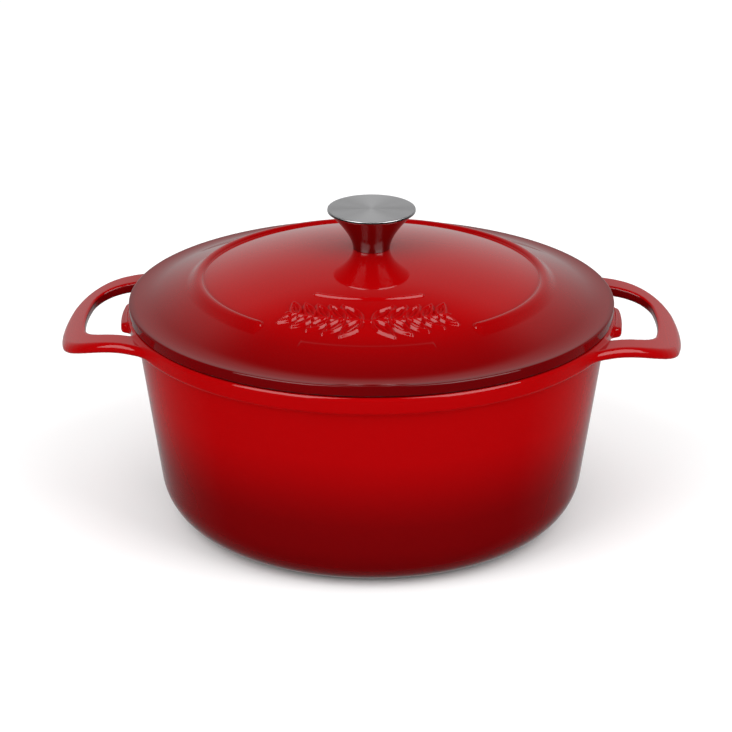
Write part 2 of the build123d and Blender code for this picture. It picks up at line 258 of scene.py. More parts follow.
def dome_line(drop, start_radius, end_radius):
    """The lid's face lowered by drop, from start_radius inwards."""
    slope = (BEAD_SEAT_Z - BRIM_Z) / (BRIM_RADIUS - BEAD_RADIUS)
    points = [(start_radius, BRIM_Z + (BRIM_RADIUS - start_radius) * slope - drop)]
    radii = np.linspace(BEAD_RADIUS, BOSS_RADIUS, DOME_STEPS)
    points += [(radius, dome_z(radius) - drop) for radius in radii]
    return np.array(points + [(end_radius, BOSS_Z - drop)])


# ---------------------------------------------------------------- signed distances, negative inside
def smooth_step(value, low, high):
    """0 up to low, 1 from high on, with an even start and end."""
    share = np.clip((value - low) / (high - low), 0, 1)
    return share * share * (3 - 2 * share)


def smooth_min(first, second, reach):
    """Union with a fillet of about this reach."""
    near = np.maximum(reach - np.abs(first - second), 0) / reach
    return np.minimum(first, second) - near * near * reach / 4


def round_max(first, second, radius):
    """Intersection with a rounded edge."""
    outside = np.hypot(np.maximum(first + radius, 0), np.maximum(second + radius, 0))
    return np.minimum(np.maximum(first, second), -radius) + outside


def distance_table(outline, low, high, step=0.25):
    """Signed distance to a closed outline, as a function that reads a table of it."""
    across = np.arange(low[0], high[0] + step, step)
    along = np.arange(low[1], high[1] + step, step)
    u, v = np.meshgrid(across, along, indexing="ij")
    nearest = np.full(u.shape, np.inf)
    inside = np.zeros(u.shape, bool)
    for (u0, v0), (u1, v1) in zip(outline, np.roll(outline, -1, axis=0)):
        du, dv = u1 - u0, v1 - v0
        share = np.clip(((u - u0) * du + (v - v0) * dv) / max(du * du + dv * dv, 1e-12), 0, 1)
        nearest = np.minimum(nearest, (u - u0 - share * du) ** 2 + (v - v0 - share * dv) ** 2)
        if dv != 0:
            inside ^= ((v0 > v) != (v1 > v)) & (u < u0 + (v - v0) * du / dv)
    values = np.where(inside, -1, 1) * np.sqrt(nearest)

    def read(u, v):
        column = np.clip((u - across[0]) / step, 0, len(across) - 1.001)
        row = np.clip((v - along[0]) / step, 0, len(along) - 1.001)
        i, j = column.astype(int), row.astype(int)
        s, t = column - i, row - j
        low_side = values[i, j] * (1 - s) + values[i + 1, j] * s
        high_side = values[i, j + 1] * (1 - s) + values[i + 1, j + 1] * s
        return low_side * (1 - t) + high_side * t

    return read


# ---------------------------------------------------------------- mesh makers
def make_piece(name, points, faces, material, body, replaced, normals=None):
    """A smooth-shaded mesh object from points in millimetres, riding on a body."""
    mesh = bpy.data.meshes.new(name)
    mesh.from_pydata((np.asarray(points) * MM).tolist(), [], faces)
    mesh.validate()
    mesh.shade_smooth()
    if normals is not None:
        mesh.normals_split_custom_set_from_vertices(normals)
    mesh.materials.append(material)
    piece = bpy.data.objects.new(name, mesh)
    bpy.context.scene.collection.objects.link(piece)
    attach(piece, body)
    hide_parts(replaced)
    return piece


def lathe(outline, angles, lift=None):
    """Points and faces of a closed outline of (radius, z) turned round the axis.

    A point of the outline on the axis becomes a pole. lift(x, y, index) is how far the ring made
    from the outline's point of that index is raised.
    """
    points = []
    rings = []
    for index, (radius, z) in enumerate(outline):
        rings.append(len(points))
        if radius < POLE_RADIUS:
            points.append((0, 0, z))
            continue
        x, y = radius * np.cos(angles), radius * np.sin(angles)
        height = np.full(len(angles), z)
        if lift is not None:
            height = height + lift(x, y, index)
        points += np.stack((x, y, height), axis=1).tolist()
    faces = []
    count = len(angles)
    spokes = [(spoke, (spoke + 1) % count) for spoke in range(count)]
    poles = [radius < POLE_RADIUS for radius, z in outline]
    pairs = list(zip(range(len(outline)), range(1, len(outline))))
    if not (poles[0] and poles[-1]):
        pairs.append((len(outline) - 1, 0))
    for here, there in pairs:
        a, b = rings[here], rings[there]
        if poles[here]:
            faces += [(a, b + k, b + n) for k, n in spokes]
        elif poles[there]:
            faces += [(a + k, b, a + n) for k, n in spokes]
        else:
            faces += [(a + k, b + k, b + n, a + n) for k, n in spokes]
    points = np.array(points)
    if signed_volume(points, faces) < 0:
        faces = [face[::-1] for face in faces]
    return points, faces


def signed_volume(points, faces):
    """Six times the enclosed volume, positive when the faces look outwards."""
    total = 0.0
    for size in (3, 4):
        group = np.array([face for face in faces if len(face) == size])
        if len(group):
            a = points[group[:, 0]]
            for second, third in ((1, 2), (2, 3))[: size - 2]:
                total += np.einsum("ij,ij", a, np.cross(points[group[:, second]], points[group[:, third]]))
    return total


# ---------------------------------------------------------------- the pot's casting
def pot_outer_table():
    """Distance to the pot's outer face in section, closed above the rim."""
    band_foot_z = RIM_Z - BAND_HEIGHT
    side = side_line(0, BASE_RADIUS, 0, band_foot_z)
    step_radius = side[-1][0]
    above = RIM_Z + ABOVE_RIM
    foot_radius = BASE_RADIUS - FOOT_WIDTH
    base = [(0, FOOT_RECESS), (foot_radius - FOOT_RECESS, FOOT_RECESS), (foot_radius, 0)]
    band = [(BAND_RADIUS - BAND_TAPER, band_foot_z), (BAND_RADIUS, RIM_Z), (BAND_RADIUS, above), (0, above)]
    line = soften(
        np.concatenate((base, side, band)),
        ((BASE_RADIUS, 0), FOOT_EDGE),
        ((step_radius, band_foot_z), BAND_HOLLOW),
        ((BAND_RADIUS - BAND_TAPER, band_foot_z), BAND_FOOT_EDGE),
    )
    return distance_table(line, *SECTION_TABLE)


def pot_cavity_table():
    """Distance to the pot's inner face in section, closed above the rim."""
    above = RIM_Z + ABOVE_RIM
    side = side_line(WALL, BASE_RADIUS - WALL, FLOOR, above)
    line = np.concatenate(([(0, FLOOR)], side, [(0, above)]))
    return distance_table(line, *SECTION_TABLE)


def loop_plan_tables():
    """The handle loop's outer outline in plan, and its opening's outline."""
    distances = []
    for root_half, reach, rise, corner in (
        (HANDLE_ROOT_HALF, HANDLE_REACH, HANDLE_GRIP_RISE, HANDLE_CORNER),
        (OPENING_ROOT_HALF, HANDLE_REACH - HANDLE_GRIP, OPENING_RISE, HANDLE_INNER_CORNER),
    ):
        corner_x = reach - rise
        corner_half = root_half - HANDLE_SIDE_SLOPE * (corner_x - HANDLE_ROOT_X)
        shares = np.linspace(-1, 1, GRIP_STEPS)
        grip = [(reach - rise * share**2, corner_half * share) for share in shares]
        ends = [(HANDLE_ROOT_X, root_half), (0, root_half)]
        line = np.array([(0, -root_half), (HANDLE_ROOT_X, -root_half), *grip, *ends])
        line = soften(line, ((corner_x, -corner_half), corner), ((corner_x, corner_half), corner))
        distances.append(distance_table(line, *PLAN_TABLE))
    return distances


def droop(x):
    """How far the loop has curved down at x."""
    run = np.clip(x - HANDLE_DROOP_X, 0, HANDLE_DROOP_RADIUS * HANDLE_DROOP_LIMIT)
    return HANDLE_DROOP_RADIUS - np.sqrt(HANDLE_DROOP_RADIUS**2 - run**2)


pot_outer = pot_outer_table()
pot_cavity = pot_cavity_table()
loop_outer, loop_opening = loop_plan_tables()


def pot_field(x, y, z):
    """Signed distance of the whole casting, near enough for the mesh to settle on its zero."""
    radius = np.hypot(x, y)
    reach, half = np.abs(x), np.abs(y)
    droop_end = HANDLE_DROOP_RADIUS * HANDLE_DROOP_LIMIT
    lean = np.clip(reach - HANDLE_DROOP_X, 0, droop_end) / HANDLE_DROOP_RADIUS
    upright = np.sqrt(1 - lean**2)
    top = HANDLE_TOP - droop(reach)
    outward = smooth_min(loop_outer(reach, half), radius - BAND_RADIUS + ROOT_SINK, ROOT_FLARE)
    inward = -loop_opening(reach, half)
    inner_share = smooth_step(inward - outward, -HANDLE_EDGE_BLEND, HANDLE_EDGE_BLEND)
    edge = HANDLE_OUTER_EDGE + (HANDLE_INNER_EDGE - HANDLE_OUTER_EDGE) * inner_share
    loop = round_max(np.maximum(outward, inward), (top - HANDLE_THICK - z) * upright, edge)
    nose = np.hypot(reach - (LUG_REACH - LUG_BOW_RADIUS), half) - LUG_BOW_RADIUS
    nose = round_max(nose, half - LUG_HALF, LUG_CORNER)
    lug_middle = LUG_TOP - LUG_HEIGHT / 2
    lug = round_max(nose, np.abs(z - lug_middle) - LUG_HEIGHT / 2, LUG_EDGE)
    casting = smooth_min(smooth_min(pot_outer(radius, z), lug, LUG_FLARE), loop, ROOT_FILLET)
    on_band = 1 - smooth_step(radius, BAND_RADIUS - FACE_INSIDE, BAND_RADIUS + FACE_OUTSIDE)
    face = top + (RIM_Z - top) * on_band
    edge = edge + (BAND_EDGE - edge) * on_band
    casting = round_max(casting, (z - face) * (upright + (1 - upright) * on_band), edge)
    return round_max(casting, -pot_cavity(radius, z), MOUTH_EDGE)


def field_slopes(points):
    """Slope of pot_field along each axis; its direction is the surface's normal."""
    slopes = []
    for axis in range(3):
        step = np.zeros(3)
        step[axis] = NORMAL_NUDGE
        rise = pot_field(*(points + step).T) - pot_field(*(points - step).T)
        slopes.append(rise / (2 * NORMAL_NUDGE))
    return np.stack(slopes, axis=1)


def pot_mesh():
    """Surface nets on a grid of angle, radius and height, settled on the field's zero, closed by discs."""
    turns, radii, heights = POT_TURNS, GRID_RADII, GRID_HEIGHTS
    layers = (turns, len(radii) - 1, len(heights) - 1)
    quarter = np.linspace(0, pi / 2, turns // 4 + 1)
    angle, radius, height = np.meshgrid(quarter, radii, heights, indexing="ij")
    field = pot_field(radius * np.cos(angle), radius * np.sin(angle), height)
    from_side = np.arange(turns) % (turns // 2)
    field = field[np.minimum(from_side, turns // 2 - from_side)]

    inside = field < 0
    wrapped = np.concatenate((inside, inside[:1]))
    corners = [(i, j, k) for i in (0, 1) for j in (0, 1) for k in (0, 1)]
    count = np.zeros(layers, np.int8)
    for i, j, k in corners:
        count += wrapped[i : i + layers[0], j : j + layers[1], k : k + layers[2]]
    cells = np.argwhere((count > 0) & (count < len(corners)))
    number = np.full(layers, -1)
    number[tuple(cells.T)] = np.arange(len(cells))

    values = [field[(cells[:, 0] + i) % turns, cells[:, 1] + j, cells[:, 2] + k] for i, j, k in corners]
    place = np.zeros((len(cells), 3))
    hits = np.zeros(len(cells))
    for first, start in enumerate(corners):
        for second, end in enumerate(corners):
            if first < second and sum(abs(a - b) for a, b in zip(start, end)) == 1:
                crossed = (values[first] < 0) != (values[second] < 0)
                gap = np.where(crossed, values[first] - values[second], 1)
                share = np.where(crossed, values[first] / gap, 0)[:, None]
                point = np.array(start) + share * (np.array(end) - np.array(start))
                place += np.where(crossed[:, None], point, 0)
                hits += crossed
    place /= hits[:, None]
    angle = (cells[:, 0] + place[:, 0]) * 2 * pi / turns
    radius = radii[cells[:, 1]] + place[:, 1] * np.diff(radii)[cells[:, 1]]
    height = heights[cells[:, 2]] + place[:, 2] * np.diff(heights)[cells[:, 2]]
    points = np.stack((radius * np.cos(angle), radius * np.sin(angle), height), axis=1)
    for _ in range(SETTLE_ROUNDS):
        slopes = field_slopes(points)
        size = np.maximum(np.einsum("ij,ij->i", slopes, slopes), LEAST_SLOPE)
        move = np.clip(pot_field(*points.T) / size, -LONGEST_MOVE, LONGEST_MOVE)
        points -= slopes * move[:, None]
    normals = field_slopes(points)
    normals /= np.linalg.norm(normals, axis=1)[:, None]

    faces = []
    for axis in range(3):
        ahead = np.roll(inside, -1, axis=axis)
        change = inside != ahead
        if axis == 1:
            change[:, -1] = False
        if axis == 2:
            change[:, :, -1] = False
        edges = np.argwhere(change)
        first_other, second_other = (other for other in range(3) if other != axis)
        ring = []
        for back, up in ((1, 1), (0, 1), (0, 0), (1, 0)):
            cell = edges.copy()
            cell[:, first_other] -= back
            cell[:, second_other] -= up
            cell[:, 0] %= turns
            outside = (cell < 0).any(axis=1) | (cell >= layers).any(axis=1)
            cell[outside] = 0
            found = number[tuple(cell.T)]
            found[outside] = -1
            ring.append(found)
        quads = np.stack(ring, axis=1)
        quads = quads[(quads >= 0).all(axis=1)]
        faces.append(quads)
    faces = np.concatenate(faces)
    spread = np.cross(points[faces[:, 2]] - points[faces[:, 0]], points[faces[:, 3]] - points[faces[:, 1]])
    wrong = np.einsum("ij,ij->i", spread, normals[faces[:, 0]] + normals[faces[:, 2]]) < 0
    faces[wrong] = faces[wrong][:, ::-1]

    points, normals, faces = points.tolist(), normals.tolist(), faces.tolist()
    for level in sorted({cell[2] for cell in cells[cells[:, 1] == 0]}):
        rim = [number[turn, 0, level] for turn in range(turns)]
        if min(rim) < 0:
            continue
        z = points[rim[0]][2]
        up = 1 if z > FLOOR / 2 else -1
        for ring_radius in DISC_RADII:
            first = len(points)
            if ring_radius:
                for turn in range(turns):
                    angle = (turn + 0.5) * 2 * pi / turns
                    points.append([ring_radius * cos(angle), ring_radius * sin(angle), z])
                inner = [first + turn for turn in range(turns)]
            else:
                points.append([0.0, 0.0, z])
                inner = [first]
            normals += [[0.0, 0.0, float(up)]] * len(inner)
            for turn in range(turns):
                after = (turn + 1) % turns
                face = [rim[turn], rim[after], inner[after % len(inner)], inner[turn % len(inner)]]
                if not ring_radius:
                    face = face[:3]
                faces.append([int(corner) for corner in face[::up]])
            rim = inner
    return points, faces, normals


# ---------------------------------------------------------------- the lid's relief
def bump(distance, width, rise):
    """A ridge of this half width and rise with a round top."""
    return rise * (1 - np.clip(distance / width, 0, 1) ** 2) ** RIDGE_ROUNDNESS


def bead_relief(x, y):
    """The raised ring round the dome, open at the front."""
    turn = np.arctan2(x, -y)
    end = np.clip(np.abs(turn), BEAD_OPEN_HALF, pi) * np.sign(turn)
    distance = np.hypot(x - BEAD_RADIUS * np.sin(end), y + BEAD_RADIUS * np.cos(end))
    return bump(distance, BEAD_HALF_WIDTH, BEAD_RISE)


def leaf_relief(x, y, foot_x, foot_y, heading, length):
    """A leaf drawn by a thin ridge along its edge and a lower one along its middle."""
    along = (x - foot_x) * cos(heading) + (y - foot_y) * sin(heading)
    across = np.abs(-(x - foot_x) * sin(heading) + (y - foot_y) * cos(heading))
    share = np.clip(along / length, 0, 1)
    half = LEAF_WIDTH / 2 * length / LEAF_LENGTH * np.sin(pi * share**LEAF_FULLNESS)
    beyond = np.maximum(np.maximum(-along, along - length), 0)
    edge = bump(np.hypot(across - half, beyond), EDGE_HALF, RELIEF_RISE)
    vein = bump(np.hypot(across, np.maximum(beyond, along - VEIN_SHARE * length)), VEIN_HALF, VEIN_RISE)
    return np.maximum(edge, vein)


def sprig_relief(x, y):
    """Two leafy twigs that meet at the front, between two thin arcs."""
    radius = np.hypot(x, y)
    turn = np.arctan2(x, -y)
    past_stem = STEM_END * np.maximum(np.abs(turn) - STEM_HALF, 0)
    height = bump(np.abs(radius - STEM_RADIUS) + past_stem, STEM_RIDGE_HALF, STEM_RISE)
    for arc_radius, arc_half in ARCS:
        past = np.maximum(np.abs(turn) - arc_half, 0) * arc_radius
        height = np.maximum(height, bump(np.hypot(radius - arc_radius, past), ARC_HALF_WIDTH, ARC_RISE))
    for side in (-1, 1):
        for pair in range(LEAF_PAIRS):
            share = (pair + FIRST_LEAF) / LEAF_PAIRS
            angle = side * share * STEM_HALF
            length = LEAF_LENGTH * (LEAF_SCALE - LEAF_SHRINK * share)
            foot = (STEM_RADIUS * sin(angle), -STEM_RADIUS * cos(angle))
            forward = angle - pi / 2 + side * pi / 2
            for lean in (-1, 1):
                heading = forward + lean * LEAF_LEAN
                height = np.maximum(height, leaf_relief(x, y, *foot, heading, length))
    return height


def relief(x, y):
    return np.maximum(bead_relief(x, y), sprig_relief(x, y))


# ---------------------------------------------------------------- materials
def new_material(name):
    """A material with its nodes, links and main shader."""
    material = bpy.data.materials.new(name)
    material.use_nodes = True
    nodes = material.node_tree.nodes
    shader = nodes["Principled BSDF"]
    return material, nodes, material.node_tree.links, shader


def math_node(nodes, links, operation, *values):
    node = nodes.new("ShaderNodeMath")
    node.operation = operation
    for socket, value in zip(node.inputs, values):
        if isinstance(value, (int, float)):
            socket.default_value = value
        else:
            links.new(value, socket)
    return node.outputs[0]


def object_axes(nodes, links):
    """Object coordinates in millimetres: x, y, z and the distance from the axis."""
    where = nodes.new("ShaderNodeTexCoord").outputs["Object"]
    split = nodes.new("ShaderNodeSeparateXYZ")
    links.new(where, split.inputs[0])
    x, y, z = (math_node(nodes, links, "MULTIPLY", split.outputs[axis], 1 / MM) for axis in range(3))
    squares = [math_node(nodes, links, "MULTIPLY", value, value) for value in (x, y)]
    radius = math_node(nodes, links, "SQRT", math_node(nodes, links, "ADD", *squares))
    return where, x, y, z, radius


def ramp_node(nodes, links, value, low, high, stops):
    """Colour ramp over value from low to high; stops are (value, colour)."""
    span = nodes.new("ShaderNodeMapRange")
    span.inputs["From Min"].default_value = low
    span.inputs["From Max"].default_value = high
    links.new(value, span.inputs["Value"])
    ramp = nodes.new("ShaderNodeValToRGB")
    elements = ramp.color_ramp.elements
    while len(elements) < len(stops):
        elements.new(0.5)
    for element, (place, colour) in zip(elements, stops):
        element.position = (place - low) / (high - low)
        element.color = (*colour, 1)
    links.new(span.outputs[0], ramp.inputs[0])
    return ramp.outputs[0]


def noise_node(nodes, links, where, scale, detail):
    noise = nodes.new("ShaderNodeTexNoise")
    noise.inputs["Scale"].default_value = scale
    noise.inputs["Detail"].default_value = detail
    links.new(where, noise.inputs["Vector"])
    return noise.outputs[0]


def mix_colour(nodes, links, share, first, second):
    mix = nodes.new("ShaderNodeMix")
    mix.data_type = "RGBA"
    links.new(share, mix.inputs["Factor"])
    for socket, value in zip((mix.inputs[6], mix.inputs[7]), (first, second)):
        if isinstance(value, tuple):
            socket.default_value = (*value, 1)
        else:
            links.new(value, socket)
    return mix.outputs[2]


def mix_value(nodes, links, share, first, second):
    mix = nodes.new("ShaderNodeMix")
    links.new(share, mix.inputs["Factor"])
    for socket, value in zip((mix.inputs[2], mix.inputs[3]), (first, second)):
        if isinstance(value, (int, float)):
            socket.default_value = value
        else:
            links.new(value, socket)
    return mix.outputs[0]


def red(amount):
    """Enamel colour at this strength of red."""
    return (amount, 0.0006, 0.0012)


# strength of red at these heights of the pot and at these radii of the lid, millimetres
POT_SHADES = (
    (8, 0.110),
    (30, 0.120),
    (41, 0.130),
    (50, 0.16),
    (58, 0.192),
    (70, 0.243),
    (82, 0.283),
    (110, 0.296),
)
LID_SHADES = (
    (84, 0.315),
    (92, 0.298),
    (100, 0.25),
    (108, 0.208),
    (116, 0.18),
    (124, 0.155),
    (134, 0.15),
    (138, 0.086),
)
# darker red painted on the walls of the handles' openings as shade
OPENING_SHADE_RED = 0.12
BLACK = (0.012, 0.011, 0.011)
PALE, PALER = (0.74, 0.68, 0.56), (0.82, 0.77, 0.66)
SPECK = (0.42, 0.36, 0.27)
SPECK_LEVEL = 0.74
STEEL_DARK, STEEL_LIGHT = (0.66, 0.66, 0.67), (0.88, 0.88, 0.89)
# darker, reddish steel for the knob's cone: a painted reflection of the dark red lid
CONE_PAINTED_REFLECTION = (0.34, 0.30, 0.30)
GLOSS_ROUGHNESS = 0.05
MATT_ROUGHNESS = 0.55
LINING_ROUGHNESS = (0.12, 0.2)
STEEL_ROUGHNESS = (0.26, 0.40)
POLISHED_ROUGHNESS = 0.14
MARKS_PER_MM = 9.0

# noise: scale and detail; the scale is per metre, but MARK_NOISE reads coordinates that are scaled already
RIPPLE_NOISE = (28.0, 1.0)
PEEL_NOISE = (420.0, 2.0)
SHADE_NOISE = (9.0, 3.0)
RAGGED_NOISE = (160.0, 2.0)
LINING_NOISE = (14.0, 3.0)
SPECK_NOISE = (900.0, 1.0)
MARK_NOISE = (1.0, 3.0)
PEEL_SHARE = 0.06
BUMP_STRENGTH = 0.12
ENAMEL_BUMP_DEPTH = 0.0005
STEEL_BUMP_DEPTH = 0.0001

# how far the edges of the materials' areas stand off the faces that they follow, millimetres
OPENING_SIDE_MARGIN = 0.8
OPENING_GRIP_MARGIN = 0.6
OPENING_BAND_MARGIN = 0.7
OPENING_TOP_MARGIN = 1.0
LUG_END_MARGIN = 1
LUG_SIDE_MARGIN = 3
POT_BARE_STRIP = 6
LID_BARE_SEAT = 0.1
LID_BARE_STRIP = 6
LID_BARE_SPOT = 5
KNOB_POLISH_MARGIN = 0.3

SHADE_WANDER = 6.0           # how far the shading wanders along the height or radius, millimetres
RAGGED_WANDER = 1.2          # how ragged the enamel's edges are


def bump_node(nodes, links, height, depth, shader):
    node = nodes.new("ShaderNodeBump")
    node.inputs["Strength"].default_value = BUMP_STRENGTH
    node.inputs["Distance"].default_value = depth
    links.new(height, node.inputs["Height"])
    links.new(node.outputs[0], shader.inputs["Normal"])


def enamel_bump(nodes, links, where, shader):
    """Slow ripple of fired enamel with a faint orange peel on it."""
    slow = noise_node(nodes, links, where, *RIPPLE_NOISE)
    peel = noise_node(nodes, links, where, *PEEL_NOISE)
    total = math_node(nodes, links, "MULTIPLY_ADD", peel, PEEL_SHARE, slow)
    bump_node(nodes, links, total, ENAMEL_BUMP_DEPTH, shader)


def opening_wall_shade(nodes, links, x, y, z, radius):
    """Painted shade mask: 1 on the walls of the handles' openings, below the loop's upper face, where the
    red is darkened to stand in for shade.
    """
    reach = math_node(nodes, links, "ABSOLUTE", x)
    half = math_node(nodes, links, "ABSOLUTE", y)
    side = math_node(nodes, links, "MULTIPLY_ADD", reach, HANDLE_SIDE_SLOPE, half)
    side_limit = OPENING_ROOT_HALF + HANDLE_SIDE_SLOPE * HANDLE_ROOT_X + OPENING_SIDE_MARGIN
    beside = math_node(nodes, links, "LESS_THAN", side, side_limit)
    grip_limit = HANDLE_REACH - HANDLE_GRIP + OPENING_GRIP_MARGIN
    before = math_node(nodes, links, "LESS_THAN", reach, grip_limit)
    past_lug = math_node(nodes, links, "SUBTRACT", reach, LUG_REACH + LUG_END_MARGIN)
    beside_lug = math_node(nodes, links, "SUBTRACT", half, LUG_HALF + LUG_SIDE_MARGIN)
    clear_of_lug = math_node(nodes, links, "MAXIMUM", past_lug, beside_lug)
    beyond = math_node(nodes, links, "GREATER_THAN", clear_of_lug, 0.0)
    off_band = math_node(nodes, links, "GREATER_THAN", radius, BAND_RADIUS + OPENING_BAND_MARGIN)
    past_droop = math_node(nodes, links, "SUBTRACT", reach, HANDLE_DROOP_X)
    run = math_node(nodes, links, "MAXIMUM", past_droop, 0.0)
    fall = math_node(nodes, links, "MULTIPLY", run, run)
    level = math_node(nodes, links, "MULTIPLY_ADD", fall, 0.5 / HANDLE_DROOP_RADIUS, z)
    mask = math_node(nodes, links, "LESS_THAN", level, HANDLE_TOP - OPENING_TOP_MARGIN)
    for limit in (beside, before, beyond, off_band):
        mask = math_node(nodes, links, "MULTIPLY", mask, limit)
    return mask


def casting_material(name, shades, by_radius, bare, walls=None):
    """Gloss enamel shaded along the height or the radius.

    Where walls(...) is 1 the red is darkened as painted shade, and it is matt black where bare(...) is 1.
    """
    material, nodes, links, shader = new_material(name)
    where, x, y, z, radius = object_axes(nodes, links)
    cloud = noise_node(nodes, links, where, *SHADE_NOISE)
    shift = math_node(nodes, links, "MULTIPLY_ADD", cloud, SHADE_WANDER, -SHADE_WANDER / 2)
    along = math_node(nodes, links, "ADD", radius if by_radius else z, shift)
    stops = [(place, red(amount)) for place, amount in shades]
    colour = ramp_node(nodes, links, along, shades[0][0], shades[-1][0], stops)
    if walls is not None:
        painted_shade = walls(nodes, links, x, y, z, radius)
        # painted shade: darker red on the walls of the handles' openings
        colour = mix_colour(nodes, links, painted_shade, colour, red(OPENING_SHADE_RED))
    edge = noise_node(nodes, links, where, *RAGGED_NOISE)
    ragged = math_node(nodes, links, "MULTIPLY_ADD", edge, RAGGED_WANDER, -RAGGED_WANDER / 2)
    mask = bare(nodes, links, z, radius, ragged)
    links.new(mix_colour(nodes, links, mask, colour, BLACK), shader.inputs["Base Color"])
    rough = mix_value(nodes, links, mask, GLOSS_ROUGHNESS, MATT_ROUGHNESS)
    links.new(rough, shader.inputs["Roughness"])
    enamel_bump(nodes, links, where, shader)
    return material


def pot_bare(nodes, links, z, radius, ragged):
    """The rim's upper face and the strip of wall above the lining."""
    edge = math_node(nodes, links, "ADD", radius, ragged)
    within = math_node(nodes, links, "LESS_THAN", edge, BAND_RADIUS - RIM_GLAZE)
    high = math_node(nodes, links, "GREATER_THAN", z, RIM_Z - LINING_STOP - POT_BARE_STRIP)
    return math_node(nodes, links, "MULTIPLY", within, high)


def lid_bare(nodes, links, z, radius, ragged):
    """The seat, the rib that hangs into the mouth and the spot round the screw's head."""
    edge = math_node(nodes, links, "ADD", z, ragged)
    low = math_node(nodes, links, "LESS_THAN", edge, LID_EDGE_Z + LID_BARE_SEAT)
    inner = math_node(nodes, links, "LESS_THAN", radius, RIB_OUTER - RIB_WIDTH / 2)
    under = math_node(nodes, links, "LESS_THAN", z, LID_EDGE_Z + LID_BARE_STRIP)
    seat = math_node(nodes, links, "MAXIMUM", low, math_node(nodes, links, "MULTIPLY", inner, under))
    middle = math_node(nodes, links, "LESS_THAN", radius, HEAD_RADIUS + LID_BARE_SPOT)
    below = math_node(nodes, links, "LESS_THAN", z, BOSS_Z - LID_WALL / 2)
    return math_node(nodes, links, "MAXIMUM", seat, math_node(nodes, links, "MULTIPLY", middle, below))


def lining_material():
    material, nodes, links, shader = new_material("pale_lining_enamel")
    where = object_axes(nodes, links)[0]
    cloud = noise_node(nodes, links, where, *LINING_NOISE)
    tint = mix_colour(nodes, links, cloud, PALE, PALER)
    specks = noise_node(nodes, links, where, *SPECK_NOISE)
    dark = math_node(nodes, links, "GREATER_THAN", specks, SPECK_LEVEL)
    links.new(mix_colour(nodes, links, dark, tint, SPECK), shader.inputs["Base Color"])
    links.new(mix_value(nodes, links, cloud, *LINING_ROUGHNESS), shader.inputs["Roughness"])
    enamel_bump(nodes, links, where, shader)
    return material


def turned_steel_material(name, polished_below=None):
    """Steel with fine turning marks round the axis; smoother below the height polished_below, and below the
    lip painted darker and redder to stand in for the dark red lid it reflects.
    """
    material, nodes, links, shader = new_material(name)
    z, radius = object_axes(nodes, links)[3:]
    shader.inputs["Metallic"].default_value = 1.0
    squeeze = nodes.new("ShaderNodeCombineXYZ")
    for socket, value in zip(squeeze.inputs, (radius, z)):
        links.new(math_node(nodes, links, "MULTIPLY", value, MARKS_PER_MM), socket)
    marks = noise_node(nodes, links, squeeze.outputs[0], *MARK_NOISE)
    tint = mix_colour(nodes, links, marks, STEEL_DARK, STEEL_LIGHT)
    rough = mix_value(nodes, links, marks, *STEEL_ROUGHNESS)
    if polished_below is not None:
        polished = math_node(nodes, links, "LESS_THAN", z, polished_below)
        rough = mix_value(nodes, links, polished, rough, POLISHED_ROUGHNESS)
        # painted reflection: the cone below the lip gets a darker, reddish steel colour
        shaded = math_node(nodes, links, "LESS_THAN", z, polished_below - KNOB_LIP)
        tint = mix_colour(nodes, links, shaded, tint, CONE_PAINTED_REFLECTION)
    links.new(tint, shader.inputs["Base Color"])
    links.new(rough, shader.inputs["Roughness"])
    shader.inputs["Anisotropic"].default_value = 0.75
    tangent = nodes.new("ShaderNodeTangent")
    tangent.direction_type = "RADIAL"
    tangent.axis = "Z"
    links.new(tangent.outputs[0], shader.inputs["Tangent"])
    bump_node(nodes, links, marks, STEEL_BUMP_DEPTH, shader)
    return material


# ---------------------------------------------------------------- pieces
pot_enamel = casting_material("red_pot_enamel", POT_SHADES, False, pot_bare, opening_wall_shade)
lid_enamel = casting_material("red_lid_enamel", LID_SHADES, True, lid_bare)
pale_enamel = lining_material()
knob_steel = turned_steel_material("turned_knob_steel", KNOB_TOP - KNOB_POLISH_MARGIN)
screw_steel = turned_steel_material("plated_screw_steel")

points, faces, normals = pot_mesh()
make_piece("pot_casting", points, faces, pot_enamel, "pot", "pot", normals)

even_turn = np.linspace(0, 2 * pi, LATHE_TURNS, endpoint=False)
lining_top = RIM_Z - LINING_STOP
outer_side = side_line(WALL, BASE_RADIUS - WALL, FLOOR, lining_top)
inner_side = side_line(WALL + LINING, BASE_RADIUS - WALL - LINING, FLOOR + LINING, lining_top)
lining_line = np.concatenate(([(0, FLOOR)], outer_side, inner_side[::-1], [(0, FLOOR + LINING)]))
points, faces = lathe(fine(lining_line, POT_LINING_STEP), even_turn)
make_piece("pot_inner_enamel", points, faces, pale_enamel, "pot", "pot_lining")


